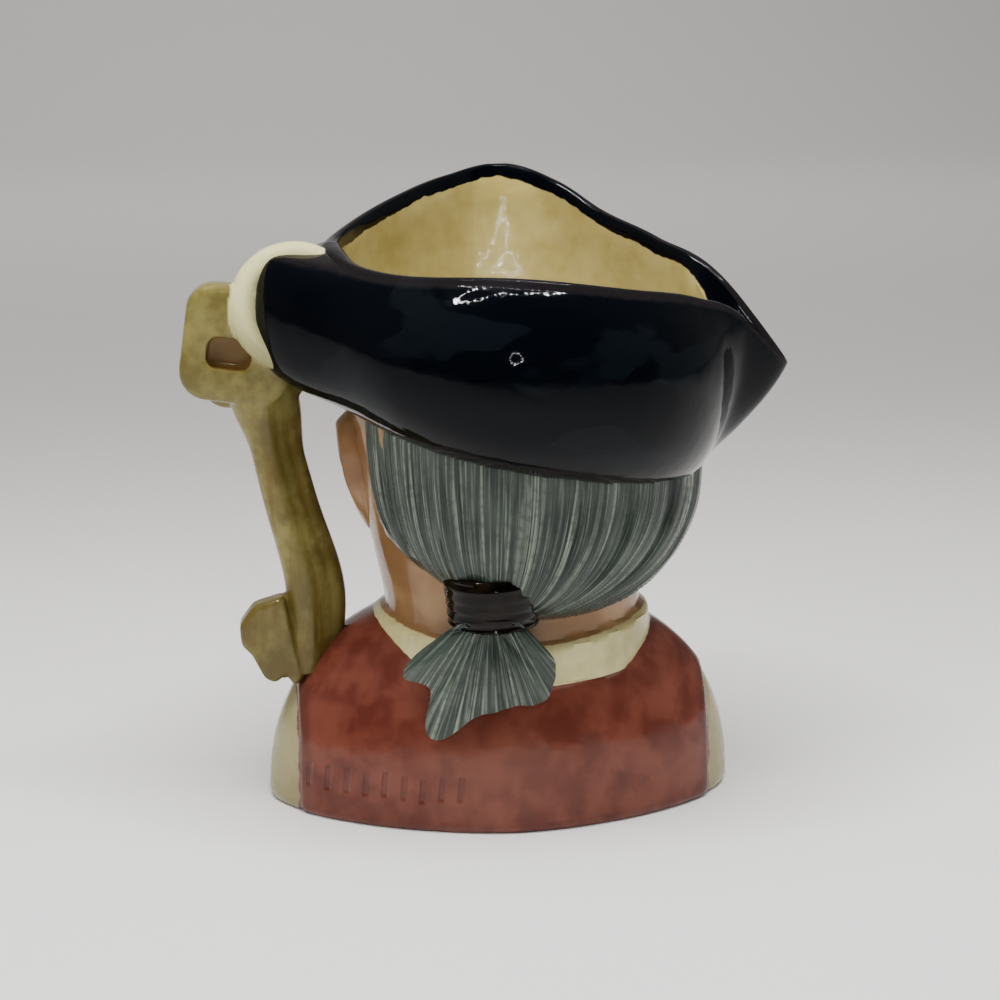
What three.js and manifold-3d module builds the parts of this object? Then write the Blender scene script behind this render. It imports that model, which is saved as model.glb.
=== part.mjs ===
// A slip-cast character jug: the bust of a man in a cocked hat, hollow and open at the top of the hat,
// with two keys on a hoop for its handle. The whole jug is one fired piece of earthenware.
// Millimetres, +Z up. The face looks along -Y and the handle stands on the +X side.
// Directions round the jug are degrees: 0 is the handle, 90 the back of the head, 270 the front.

import * as THREE from "three";
import { mergeVertices } from "three/addons/utils/BufferGeometryUtils.js";
import Module from "manifold-3d";

const wasm = await Module();
wasm.setup();

// ---------------------------------------------------------------- driving dimensions

const WALL = 3.8; // thickness of the cast wall
const FLOOR = 6; // thickness of the bottom
const FOOT = { width: 6, recess: 1.5 }; // the ring that the jug stands on, and the dish inside it

const BUST = { side: 69.2, back: 41, front: 47, height: 61, shoulder: 2.4 };
const JERKIN = { edge: 60, step: 1.2 }; // it stops short of the shoulders, over the sleeves
const COLLAR = { low: 42, high: 53, rise: 4, proud: 3.2 };
const NECK = { left: 33, right: 40, back: 34, front: 34 };
const CRAVAT = { top: 56, low: 19, halfWidth: 11, proud: 4, fold: 0.8 };

// The head at each height: reach to the left, right, back and front, and how square the front is.
const HEAD = [
  [48, 31, 38.5, 33, 31, 2],
  [57, 32, 39, 34, 41, 1.62],
  [64, 34, 40.5, 35, 46, 1.75],
  [84, 38.5, 43, 38, 48, 2.05],
  [100, 41.5, 46, 42, 48, 2.2],
  [125, 43, 50, 46, 48, 2.3],
];
const FACE = { middle: 267, chin: 60, mouth: 74, nose: 83, eyes: 98.5, brow: 105, eyeApart: 14.5 };
const HAIR = { left: 42, right: 57.5, back: 49, front: 44, low: 59, locks: 20 };
const FULLNESS = { behind: 5, right: 2.6 }; // how squarely the hair turns in at its lower edge
const RIBBON = { at: 80, reach: 35.2, radius: 13.8, low: 60, high: 75 };
const EARS = [
  { at: [39.5, -2, 97], tall: 36, wide: 21, out: 7.4, leans: 7, facing: 0 },
  { at: [-43, -7, 92], tall: 33, wide: 20, out: 9, leans: 4, facing: 180 },
];

// The queue spreads below its ribbon: how far it reaches in each direction, 0 straight down.
const QUEUE = { top: 63, reach: 41, standsOff: 6.5, root: 2.5 };
const QUEUE_REACH = [
  [-180, 5], [-105, 8], [-73, 13.5], [-57, 21.5], [-38, 26.5], [-12, 24.5], [10, 27.5],
  [28, 38.5], [42, 27], [58, 30.5], [72, 18], [90, 10], [180, 5],
];

// The hat's rim in each direction: how far out, and how high. Its three points are at 5, 177 and 262.
const RIM = [
  [5, 50.5, 158.5], [45, 48.5, 156.2], [90, 51, 156.6], [125, 55.5, 152.5],
  [150, 60, 148], [167, 69, 141], [177, 83, 126.5], [187, 69, 147],
  [209, 58.5, 158.3], [230, 57.5, 164.8], [246, 61, 172.5], [262, 66, 177.2],
  [280, 57, 174.6], [303, 50, 169.8], [335, 48.5, 163], [365, 50.5, 158.5],
];
const RIGHT_POINT = 177;
const HAT = { edge: 110, roll: 0.185, pitch: -0.075, left: 44, right: 58, back: 52, front: 51 };
const LIP = { thick: 3.4, atSnout: 2.4 }; // thickness of the rim, and how much more it is by the snout
const SNOUT = { at: 4, spread: 20, out: 18, crown: 8 }; // the blunt point over the handle

// The handle: a hoop round the snout of the hat, and two keys hanging from it down to the shoulder.
const HOOP = { centre: [58.3, 8.4, 145.5], radius: 14.8, tube: 3.6, lean: -13 };
const KEYS = [
  {
    bow: [74.5, 4.5, 135], turned: 8, side: 1, bit: [60.5, 4.5, 50],
    shank: [[72.5, 2.5, 129], [64.3, 2, 92], [57, 2, 62], [57.5, 2, 38]],
  },
  {
    bow: [70.5, -4.5, 132.5], turned: -4, side: -1, bit: [57.5, -5, 48],
    shank: [[67, -2, 129], [57.5, -2, 90], [50.3, -2, 62], [53, -2, 38]],
  },
];
const BOW = { wide: 30.4, tall: 33, thick: 10.5, edge: 3, corner: 6 };
const HOLLOW = { wide: 12.5, tall: 9, aside: 2.4, up: -2.2, deep: 6.5 }; // sunk in both faces of a bow
const SHANK = { top: 4, foot: 6, funnel: 2.6 }; // a funnel widens it where it leaves the bow
const BIT = { wide: 15, tall: 25, thick: 8 };

// Columns of the cast wall, and rows up its outside and down its inside.
const COLUMNS = 62;
const COAT_ROWS = [0, 1.6, 11, 22, 31, 38, 42, 46, 50, 53, 56, 60];
const INSIDE_ROWS = [84, 64, 56, 48, 36, 11];
const ROWS = { head: 15, hat: 7, insideHat: 3 };
const ABOVE = 190; // a height that nothing reaches

// ---------------------------------------------------------------- small helpers

const { sin, cos, sqrt, abs, exp, PI, max, min } = Math;
const { clamp, lerp } = THREE.MathUtils;
const radians = THREE.MathUtils.degToRad;
const ease = (from, to, x) => THREE.MathUtils.smoothstep(x, from, to);
const bump = (distance, width) => exp(-((distance / width) ** 2));

// The larger of two radii, rounded over a seam of that width, as slip rounds an inner corner.
const blend = (a, b, seam) => (a + b + sqrt((a - b) ** 2 + seam ** 2)) / 2;

// Degrees from one direction to another, from -180 to 180.
const turn = (from, to) => ((((to - from) % 360) + 540) % 360) - 180;

// Radius of an oval that has its own reach on each side.
function oval(degrees, { left, right, back, front }, power = 2) {
  const c = cos(radians(degrees));
  const s = sin(radians(degrees));
  const across = abs(c) / (c > 0 ? left : right);
  const along = abs(s) / (s > 0 ? back : front);
  return (across ** power + along ** power) ** (-1 / power);
}

// A smooth curve through rows of [position, value, ...], given back as a function of the position.
function curveThrough(rows) {
  const size = rows[0].length - 1;
  const positions = rows.map((row) => row[0]);
  const values = rows.flatMap((row) => row.slice(1));
  const curve = new THREE.CubicInterpolant(positions, values, size);
  return (position) => Array.from(curve.evaluate(clamp(position, positions[0], positions.at(-1))));
}

const headAt = curveThrough(HEAD);
const queueReach = curveThrough(QUEUE_REACH);
const [lastDirection, ...lastPlace] = RIM.at(-2);
const rimCurve = curveThrough([[lastDirection - 360, ...lastPlace], ...RIM]);
const rimAt = (degrees) => rimCurve(degrees < 0 ? degrees + 360 : degrees % 360);

// ---------------------------------------------------------------- the figure, as radii round the jug's axis

// Shoulders and chest: an oval that closes in like a dome towards the neck.
function coat(degrees, z) {
  const back = sin(radians(degrees)) > 0;
  const height = BUST.height + 6 * sin(radians(degrees)) ** 2;
  const taper = (1 - clamp(z / height, 0, 1) ** BUST.shoulder) ** (1 / BUST.shoulder);
  const plan = { left: BUST.side, right: BUST.side, back: BUST.back, front: BUST.front };
  const reach = oval(degrees, plan, back ? 1.68 : 2.05) * taper;
  const sleeve = ease(JERKIN.edge - 1, JERKIN.edge + 1, abs(reach * cos(radians(degrees))));
  const roundedFoot = 1.2 * bump(z, 1.2);
  return reach - JERKIN.step * sleeve - roundedFoot;
}

function collar(degrees, z) {
  const rim = COLLAR.high + COLLAR.rise * cos(radians(degrees)) ** 2;
  const band = (1 - ease(rim - 1, rim + 1, z)) * ease(COLLAR.low - 2, COLLAR.low, z);
  return oval(degrees, NECK) + COLLAR.proud * band;
}

// The neckcloth that falls from under the chin, wider and rounded off below.
function cravat(degrees, z) {
  const aside = abs(48 * sin(radians(turn(FACE.middle, degrees))));
  const width = CRAVAT.halfWidth * (1.5 - 0.5 * ease(CRAVAT.low, CRAVAT.top - 12, z));
  if (aside >= width || cos(radians(turn(FACE.middle, degrees))) < 0) return 0;
  const rounding = sqrt(1 - (aside / width) ** 4) * ease(CRAVAT.low - 3, CRAVAT.low + 3, z);
  const folds = CRAVAT.fold * cos(aside * 0.85);
  const under = coat(degrees, min(z, CRAVAT.top - 13)) - 4;
  return (under + (CRAVAT.proud + 4 + folds) * rounding) * (1 - ease(CRAVAT.top, CRAVAT.top + 3, z));
}

function head(degrees, z) {
  const [left, right, back, front, square] = headAt(z);
  return oval(degrees, { left, right, back, front }, sin(radians(degrees)) > 0 ? 2 : square);
}

// What the features add to the face, which is calm and regular.
function features(degrees, z) {
  if (abs(turn(FACE.middle, degrees)) > 75) return 0;
  const side = abs(48 * sin(radians(turn(FACE.middle, degrees))));
  const spot = (x, height, wide, tall, proud) => proud * bump(side - x, wide) * bump(z - height, tall);
  const down = clamp((FACE.brow - z) / (FACE.brow - FACE.nose), 0, 1.05);
  const tip = ease(FACE.nose - 3.5, FACE.nose + 1, z);
  const ridge = (1.2 + 10.5 * down ** 1.4) * bump(side, lerp(3.2, 5.2, down));
  const nose = z < FACE.brow + 4 ? ridge * tip : 0;
  const wings = spot(6, FACE.nose + 1, 2.6, 2.8, 3.6);
  const sockets = spot(FACE.eyeApart, FACE.eyes + 1, 8, 5, -3.6);
  const balls = spot(FACE.eyeApart, FACE.eyes - 0.5, 5, 3.4, 3.2);
  const brows = spot(FACE.eyeApart, FACE.brow + 1, 9, 2.4, 2);
  const cheeks = spot(26, FACE.nose + 3, 9, 9, 2.4);
  const lips = spot(0, FACE.mouth + 1.9, 8, 1.7, 2.2) + spot(0, FACE.mouth - 2.4, 7, 2, 2.6);
  const chin = spot(0, FACE.chin + 2, 9, 5, 3.6);
  return nose + wings + sockets + balls + brows + cheeks + lips + chin;
}

// Height of the lower edge of the combed hair: level behind, steep behind the left ear and at the right ear.
function hairline(degrees) {
  const aside = turn(100, degrees);
  const toLeftEar = clamp(-aside / 88, 0, 1.5);
  const atLeftEar = 1 - ease(-80, -66, aside);
  const atRightEar = clamp((aside - 70) / 10, 0, 1.3);
  return HAIR.low + 22 * toLeftEar ** 1.2 + 32 * atLeftEar + 50 * atRightEar ** 1.5;
}

// The locks start spread along the hat and draw together at the ribbon.
function lock(degrees, z) {
  const down = clamp((hatEdge(degrees) - z) / (hatEdge(degrees) - RIBBON.low), 0, 0.9);
  return turn(RIBBON.at, degrees) / sqrt(1 - down * down);
}

function hair(degrees, z) {
  const low = hairline(degrees);
  const top = hatEdge(degrees);
  if (z < low || top < low) return 0;
  const down = clamp((top - z) / (top - low), 0, 1);
  const combed = 0.9 * cos(radians(lock(degrees, z) * HAIR.locks)) * (1 - down * down);
  const squareness = lerp(FULLNESS.behind, FULLNESS.right, ease(10, 70, turn(100, degrees)));
  const turnedIn = (1 - down ** squareness) ** (1 / squareness);
  return (oval(degrees, HAIR) + combed) * turnedIn * ease(-1, 5, top - low);
}

// The whole figure below the hat, without the queue and the ears.
function figure(degrees, z) {
  const clothes = blend(blend(coat(degrees, z), collar(degrees, z), 1.5), cravat(degrees, z), 0.8);
  return blend(blend(clothes, head(degrees, z) + features(degrees, z), 2), hair(degrees, z), 1);
}

// ---------------------------------------------------------------- the cocked hat

// The hat is worn tilted, so its lower edge lies on a slanting plane.
function hatEdge(degrees) {
  const reach = oval(degrees, HAT);
  const toTheLeft = reach * cos(radians(degrees));
  const toTheBack = reach * sin(radians(degrees));
  return HAT.edge + HAT.roll * toTheLeft + HAT.pitch * toTheBack;
}

// A point on the outside of the turned-up brim: share 0 at its lower edge, 1 at the rim.
function brim(degrees, share) {
  const [reach, height] = rimAt(degrees);
  const snout = bump(turn(SNOUT.at, degrees), SNOUT.spread);
  const behind = clamp(sin(radians(degrees)), 0, 1) ** 0.7 * (1 - bump(turn(RIGHT_POINT, degrees), 22));
  const round = 1 - abs(2 * share ** 0.9 - 1) ** 2.4;
  const blunt = 1 - abs(2 * share - 1) ** 3.4;
  const swell = (3 + 8.5 * behind) * round + SNOUT.out * snout * blunt;
  const crown = SNOUT.crown * snout * bump(share - 0.82, 0.16);
  return [
    lerp(oval(degrees, HAT), reach, share) + swell,
    lerp(hatEdge(degrees), height, share) + crown,
  ];
}

// ---------------------------------------------------------------- the cast wall

// Degrees of each column, closer together over the face, the combed hair and the hat's right point.
function columnDegrees() {
  const density = (degrees) =>
    1 + 2.1 * bump(turn(FACE.middle, degrees), 29) + 0.5 * bump(turn(90, degrees), 60)
      + 2 * bump(turn(RIGHT_POINT, degrees), 9) + 0.7 * bump(turn(SNOUT.at, degrees), 18);
  const sums = [0];
  for (let quarter = 0; quarter < 1440; quarter++) sums.push(sums.at(-1) + density(quarter / 4));
  const whole = sums.at(-1);
  return Array.from({ length: COLUMNS }, (_, i) => sums.findIndex((sum) => sum >= (i / COLUMNS) * whole) / 4);
}

// Outside of the body without its fine features, which the inside doesn't follow.
function core(degrees, z) {
  const edge = hatEdge(degrees);
  if (z <= edge) return blend(coat(degrees, z), blend(head(degrees, z), hair(degrees, z) - 1.5, 2), 3);
  const share = clamp((z - edge) / (rimAt(degrees)[1] - edge), 0, 1);
  return brim(degrees, share)[0] - 0.6 * max(0, rimAt(degrees)[0] - 62);
}

function insideReach(degrees, z) {
  const around = [core(degrees, z - WALL), core(degrees, z), core(degrees, z + WALL)];
  return min(...around) - WALL;
}

// Down the inside of one column, from the rim to the floor.
function insidePath(degrees) {
  const top = brim(degrees, 1)[1] - 5;
  const path = [];
  for (let row = 0; row < ROWS.insideHat; row++) {
    const z = lerp(top, hatEdge(degrees) - 2, row / (ROWS.insideHat - 1));
    path.push([insideReach(degrees, z), z]);
  }
  for (const z of INSIDE_ROWS) path.push([insideReach(degrees, z), z]);
  path.push([path.at(-1)[0] - 6, FLOOR]);
  return path;
}

const lipThickness = (degrees) => LIP.thick + LIP.atSnout * bump(turn(SNOUT.at + 4, degrees), 16);

// The path of one column: under the foot, up the outside, over the lip and down the inside to the floor.
function columnPath(degrees) {
  const foot = figure(degrees, 0);
  const path = [
    [foot * 0.5, FOOT.recess],
    [foot - FOOT.width - 1.5, FOOT.recess],
    [foot - FOOT.width, 0],
  ];
  for (const z of COAT_ROWS) path.push([figure(degrees, z), z]);
  for (let row = 1; row < ROWS.head; row++) {
    const z = lerp(COAT_ROWS.at(-1), hatEdge(degrees), row / ROWS.head);
    path.push([figure(degrees, z), z]);
  }
  for (let row = 0; row <= ROWS.hat; row++) path.push(brim(degrees, row / ROWS.hat));
  const [reach, height] = brim(degrees, 1);
  const lip = lipThickness(degrees);
  path.push([reach - lip * 0.4, height + 1.1], [reach - lip, height]);
  return [...path, ...insidePath(degrees)];
}

// A sphere's grid drawn onto paths that run from its first pole to its last, one for each column.
function gridOn(paths, firstPole, lastPole) {
  const rows = paths[0].length + 1;
  const grid = new THREE.SphereGeometry(1, COLUMNS, rows);
  const position = grid.getAttribute("position");
  const columns = columnDegrees();
  for (let index = 0; index < position.count; index++) {
    const row = Math.floor(index / (COLUMNS + 1));
    const column = index % (COLUMNS + 1) % COLUMNS;
    const angle = radians(columns[column]);
    const [reach, z] = paths[column][row - 1] ?? [0, row === 0 ? firstPole : lastPole];
    position.setXYZ(index, reach * cos(angle), reach * sin(angle), z);
  }
  return grid;
}

// The wall's poles are at the middle of the inside floor and of the underside.
function castWall() {
  const paths = columnDegrees().map((degrees) => columnPath(degrees).reverse());
  return gridOn(paths, FLOOR, FOOT.recess);
}

// The space inside and over the mouth, and a little of the wall: nothing luted on outside reaches into it.
function cavity() {
  const intoWall = 1;
  const paths = columnDegrees().map((degrees) => {
    const [reach, height] = brim(degrees, 1);
    const mouth = reach - lipThickness(degrees) + intoWall;
    const inside = insidePath(degrees).map(([r, z]) => [r + intoWall, z]);
    return [[mouth, ABOVE], [mouth, height], ...inside];
  });
  return gridOn(paths, ABOVE, FLOOR);
}

// ---------------------------------------------------------------- the queue, ribbon and ears

// A sphere's grid placed by a function of its degrees round the pole and its share from pole to pole.
function warpedSphere(around, along, place) {
  const grid = new THREE.SphereGeometry(1, around, along);
  const position = grid.getAttribute("position");
  for (let index = 0; index < position.count; index++) {
    const share = Math.floor(index / (around + 1)) / along;
    const degrees = (index % (around + 1) % around) * (360 / around);
    position.setXYZ(index, ...place(share === 0 || share === 1 ? 0 : degrees, share));
  }
  return grid;
}

// The tied hair lies on the coat: its pole faces out, and its outline is the edge of the fan.
function queue() {
  return warpedSphere(32, 7, (degrees, share) => {
    const direction = turn(degrees, 180);
    const out = min(1, 1.45 * sin(PI * share) ** 0.8);
    const spread = queueReach(direction)[0] * (share < 0.5 ? out : min(out, 0.9));
    const across = -spread * sin(radians(direction));
    const drop = spread * cos(radians(direction));
    const strands = 0.8 * cos(radians(direction * 12)) * out;
    const nearRibbon = QUEUE.root * (1 - ease(0, 14, drop));
    const face = QUEUE.reach + QUEUE.standsOff - nearRibbon - 0.05 * drop + strands;
    const dome = lerp(QUEUE.reach - 3, face, sqrt(max(0, 1 - (share * 2) ** 5)));
    const reach = share < 0.5 ? dome : QUEUE.reach - 9;
    const angle = radians(RIBBON.at + (across / QUEUE.reach) * (180 / PI));
    return [reach * cos(angle), reach * sin(angle), QUEUE.top - drop];
  });
}

function ribbon() {
  const { low, high, radius } = RIBBON;
  const profile = [
    [0, low], [radius - 2.4, low], [radius - 1.2, low + 1.5], [radius - 1.1, low + 6],
    [radius + 0.2, high - 3], [radius - 0.4, high - 0.8], [radius - 2, high], [0, high],
  ];
  const band = new THREE.LatheGeometry(profile.map(([r, z]) => new THREE.Vector2(r, z)), 24);
  band.rotateX(PI / 2);
  const angle = radians(RIBBON.at);
  return band.translate(RIBBON.reach * cos(angle), RIBBON.reach * sin(angle), 0);
}

// An ear: an oval shell with a rolled rim, dished within, thinner and narrower towards its lobe.
function ear({ at, tall, wide, out, leans, facing }) {
  const shell = warpedSphere(16, 9, (degrees, share) => {
    const up = sin(radians(degrees));
    const ring = sin(PI * share);
    const rolled = 0.65 + 0.35 * ease(0.3, 0.85, ring);
    const tapered = 0.38 + 0.62 * ease(-1, 0.15, up * ring);
    const edge = sqrt(1 - ring ** 4);
    const breadth = (wide / 2) * (1 + 0.22 * up);
    return [
      share < 0.5 ? out * rolled * tapered * edge : -0.4 * out * edge,
      breadth * ring * cos(radians(degrees)),
      (tall / 2) * ring * up,
    ];
  });
  return shell.rotateY(radians(leans)).rotateZ(radians(facing)).translate(...at);
}

// ---------------------------------------------------------------- the handle

function hoop() {
  const ring = new THREE.TorusGeometry(HOOP.radius, HOOP.tube, 8, 22);
  return ring.rotateX(PI / 2 - radians(HOOP.lean)).translate(...HOOP.centre);
}

// A rounded rectangle about its own middle.
function roundedRectangle(wide, tall, corner) {
  const shape = new THREE.Shape();
  const corners = [[1, 1, 0], [-1, 1, 90], [-1, -1, 180], [1, -1, 270]];
  for (const [x, y, start] of corners) {
    const from = radians(start);
    shape.absarc(x * (wide / 2 - corner), y * (tall / 2 - corner), corner, from, from + PI / 2);
  }
  return shape;
}

// The bow of a key: a thick rounded plate, with a blind hollow sunk in both of its faces.
function bow() {
  const { wide, tall, thick, edge, corner } = BOW;
  const plate = new THREE.ExtrudeGeometry(roundedRectangle(wide - 2 * edge, tall - 2 * edge, corner), {
    depth: thick - 2 * edge,
    bevelSize: edge,
    bevelThickness: edge,
    bevelSegments: 1,
    curveSegments: 4,
  });
  return plate.rotateX(PI / 2).translate(0, thick / 2 - edge, 0);
}

function bowHollow(side) {
  const { wide, tall, aside, up, deep } = HOLLOW;
  const straight = { depth: BOW.thick, bevelEnabled: false, curveSegments: 2 };
  const plug = new THREE.ExtrudeGeometry(roundedRectangle(wide, tall, 3), straight);
  const sunk = BOW.thick / 2 + side * (BOW.thick - deep);
  return plug.rotateX(PI / 2).translate(aside, sunk, up);
}

// The shank bends a little on its way from the bow down to the shoulder, and grows thicker.
function shank(points) {
  const path = new THREE.CatmullRomCurve3(points.map((point) => new THREE.Vector3(...point)));
  return warpedSphere(12, 8, (degrees, share) => {
    const { x, y, z } = path.getPoint(share);
    const funnel = SHANK.funnel * (1 - ease(0.08, 0.28, share));
    const radius = share === 0 || share === 1 ? 0 : lerp(SHANK.top, SHANK.foot, share) + funnel;
    return [x + radius * cos(radians(degrees)), y + radius * sin(radians(degrees)), z];
  });
}

// The bit: a plate with two notches cut into its lower edge.
function bit() {
  const { wide, tall, thick } = BIT;
  const outline = [
    [0, -0.5], [0.2, -0.58], [0.3, -0.42], [0.55, -0.48], [0.72, -0.4],
    [0.85, -0.1], [1, 0.05], [0.95, 0.28], [0.6, 0.47], [0, 0.5],
  ];
  const shape = new THREE.Shape(outline.map(([x, y]) => new THREE.Vector2(x * wide, y * tall)));
  const plate = new THREE.ExtrudeGeometry(shape, {
    depth: thick - 2,
    bevelSize: 1,
    bevelOffset: -1,
    bevelThickness: 1,
    bevelSegments: 1,
  });
  return plate.rotateX(PI / 2).translate(0, thick / 2 - 1, 0);
}

// ---------------------------------------------------------------- joining

function solid(geometry) {
  const bare = geometry.clone();
  bare.deleteAttribute("normal");
  bare.deleteAttribute("uv");
  const merged = mergeVertices(bare, 1e-3);
  return new wasm.Manifold(new wasm.Mesh({
    numProp: 3,
    vertProperties: Float32Array.from(merged.attributes.position.array),
    triVerts: Uint32Array.from(merged.index.array),
  }));
}

function geometryOf(manifold) {
  const { vertProperties, triVerts } = manifold.getMesh();
  const geometry = new THREE.BufferGeometry();
  geometry.setAttribute("position", new THREE.BufferAttribute(vertProperties, 3));
  geometry.setIndex(new THREE.BufferAttribute(triVerts, 1));
  geometry.computeVertexNormals();
  return geometry;
}

function key(at) {
  const placed = (geometry) => solid(geometry.rotateY(radians(-at.turned)).translate(...at.bow));
  const head = placed(bow()).subtract(placed(bowHollow(at.side)));
  const foot = bit().rotateY(radians(12)).translate(...at.bit);
  return head.add(solid(shank(at.shank))).add(solid(foot));
}

function fusedJug() {
  const hollow = solid(cavity());
  const lutedOn = [queue(), ribbon(), hoop(), ...EARS.map(ear)].map(solid);
  let jug = solid(castWall());
  for (const piece of [...lutedOn, ...KEYS.map(key)]) jug = jug.add(piece.subtract(hollow));
  return jug;
}

const glaze = new THREE.MeshStandardMaterial({
  name: "glazed earthenware", color: 0xd9cf9c, roughness: 0.18, metalness: 0,
});
const jug = new THREE.Mesh(geometryOf(fusedJug()), glaze);
jug.name = "jug";

// The origin is on the ground under the middle of the whole jug, handle and hat included.
const middle = new THREE.Box3().setFromObject(jug).getCenter(new THREE.Vector3());
jug.position.set(-middle.x, -middle.y, 0);

const group = new THREE.Group();
group.add(jug);
export default group;
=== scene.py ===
# A slip-cast character jug: the bust of a man in a cocked hat, glazed and painted, with two keys for its
# handle. Shapes are worked out in millimetres round the jug's own axis, where the face looks along -Y and
# the handle stands on the +X side; directions are degrees from the handle round by the back of the head.

from math import radians

import bmesh
import bpy
import numpy as np
from mathutils import Matrix, Vector


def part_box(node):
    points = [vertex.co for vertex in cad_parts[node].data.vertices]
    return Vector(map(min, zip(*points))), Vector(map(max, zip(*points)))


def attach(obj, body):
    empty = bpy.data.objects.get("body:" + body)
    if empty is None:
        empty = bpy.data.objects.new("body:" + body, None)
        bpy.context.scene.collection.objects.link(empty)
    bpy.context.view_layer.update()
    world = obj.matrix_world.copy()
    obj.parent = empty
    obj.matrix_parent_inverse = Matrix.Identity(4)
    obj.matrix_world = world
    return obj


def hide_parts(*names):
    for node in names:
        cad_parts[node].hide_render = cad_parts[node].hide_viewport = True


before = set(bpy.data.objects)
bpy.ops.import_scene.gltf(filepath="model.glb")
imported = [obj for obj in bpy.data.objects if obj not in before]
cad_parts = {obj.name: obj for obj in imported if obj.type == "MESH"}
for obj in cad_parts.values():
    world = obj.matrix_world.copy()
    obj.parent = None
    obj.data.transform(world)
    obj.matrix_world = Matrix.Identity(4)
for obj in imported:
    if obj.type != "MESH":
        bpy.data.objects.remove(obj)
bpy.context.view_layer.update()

MM = 0.001

# -------- sizes: the solid's own, but for a slimmer queue and softer bows

WALL, FLOOR = 3.8, 6.0
FOOT_WIDTH, FOOT_RECESS, FOOT_ROUNDING = 6.0, 1.5, 1.2
BUST = dict(left=69.2, right=69.2, back=41, front=47)
BUST_HEIGHT, BUST_RISE, BUST_SHOULDER, BUST_SQUARE_BEHIND, BUST_SQUARE_BEFORE = 61, 6, 2.4, 1.68, 2.05
JERKIN_EDGE, JERKIN_STEP = 60, 1.2
COLLAR_LOW, COLLAR_HIGH, COLLAR_RISE, COLLAR_PROUD = 42, 53, 4, 3.2
NECK = dict(left=33, right=40, back=34, front=34)
CRAVAT_TOP, CRAVAT_LOW, CRAVAT_WIDTH, CRAVAT_PROUD = 56, 19, 11, 4
BUTTON_HEIGHTS, BUTTON_RADIUS, BUTTON_ASIDE = (5, 11.5), 2.1, 2.5

# Rows of (height, left, right, back, front, squareness of the face's side).
HEAD = [
    (48, 31, 38.5, 33, 31, 2),
    (57, 32, 39, 34, 41, 1.62),
    (64, 34, 40.5, 35, 46, 1.75),
    (84, 38.5, 43, 38, 48, 2.05),
    (100, 41.5, 46, 42, 48, 2.2),
    (125, 43, 50, 46, 48, 2.3),
]
FACE, FACE_REACH = 267, 48
CHIN, MOUTH, NOSE, EYES, BROW, EYE_APART = 60, 74, 83, 98.5, 105, 14.5
HAIR = dict(left=42, right=57.5, back=49, front=44)
HAIR_LOW, FULLNESS_BEHIND, FULLNESS_RIGHT, LOCKS = 59, 5, 2.6, 20
RIBBON_AT, RIBBON_REACH, RIBBON_RADIUS, RIBBON_LOW, RIBBON_HIGH = 80, 35.2, 13.8, 60, 75
EARS = [
    dict(at=(39.5, -2, 97), tall=36, wide=21, out=7.4, leans=7, facing=0),
    dict(at=(-43, -7, 92), tall=33, wide=20, out=9, leans=4, facing=180),
]

# The queue's outline, as rows of (direction from straight down, reach).
QUEUE_TOP, QUEUE_FROM_AXIS, QUEUE_STANDS_OFF, QUEUE_ROOT = 63, 41, 6.5, 2.5
QUEUE_REACH = [
    (-180, 5), (-105, 7), (-73, 12.5), (-57, 21.5), (-38, 26.5), (-12, 24.5), (10, 27.5),
    (28, 38.5), (42, 27), (58, 30.5), (72, 17), (90, 8), (180, 5),
]

# The hat's rim, as rows of (direction, reach, height).
RIM = [
    (5, 50.5, 158.5), (45, 48.5, 156.2), (90, 51, 156.6), (125, 55.5, 152.5), (150, 60, 148),
    (167, 69, 141), (177, 83, 126.5), (187, 69, 147), (209, 58.5, 158.3), (230, 57.5, 164.8),
    (246, 61, 172.5), (262, 66, 177.2), (280, 57, 174.6), (303, 50, 169.8), (335, 48.5, 163),
    (365, 50.5, 158.5),
]
HAT = dict(left=44, right=58, back=52, front=51)
HAT_EDGE, HAT_ROLL, HAT_PITCH = 110, 0.185, -0.075
BRIM_SWELL, BRIM_SWELL_BEHIND = 3, 8.5
LIP, LIP_AT_SNOUT, LIP_DEPTH, LIP_ROUNDING = 3.4, 2.4, 3, 1.3
RIGHT_POINT, POINTS_FROM, POINTS_THICKEN = 177, 62, 0.6
SNOUT_AT, SNOUT_SPREAD, SNOUT_OUT, SNOUT_CROWN = 4, 20, 18, 8
HOOP = dict(centre=(58.3, 8.4, 145.5), radius=14.8, tube=3.6, lean=-13)
KEYS = [
    dict(bow=(74.5, 4.5, 135), turned=8, side=1, bit=(60.5, 4.5, 50),
         shank=[(72.5, 2.5, 129), (64.3, 2, 92), (57, 2, 62), (57.5, 2, 38)]),
    dict(bow=(70.5, -4.5, 132.5), turned=-4, side=-1, bit=(57.5, -5, 48),
         shank=[(67, -2, 129), (57.5, -2, 90), (50.3, -2, 62), (53, -2, 38)]),
]
BOW = dict(wide=30.4, thick=10.5, tall=33, corner=8, edge=2.4)
BOW_HOLLOW = dict(wide=12.5, tall=9, corner=3, edge=1.2)
HOLLOW_ASIDE, HOLLOW_UP, HOLLOW_DEEP = 2.4, -2.2, 4.5
SHANK_TOP, SHANK_FOOT, SHANK_FUNNEL = 4, 6, 3
BIT = dict(wide=15, tall=25, thick=8)
BIT_LEANS, BIT_ROUNDING = 12, 1.2

# The outline of a bit: rows of (share of its width, share of its height).
BIT_OUTLINE = [
    (0, -0.5), (0.2, -0.58), (0.3, -0.42), (0.55, -0.48), (0.72, -0.4),
    (0.85, -0.1), (1, 0.05), (0.95, 0.28), (0.6, 0.47), (0, 0.5),
]

ABOVE = 190  # a height that nothing reaches
FLOOR_ROUNDING = 7  # how far over the floor the inside starts to round off
INTO_WALL = 1.6  # so much of the wall, from the inside, stays free of what is luted on
TO_HEAD = 60  # up to this height the rows of the wall are level

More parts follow.
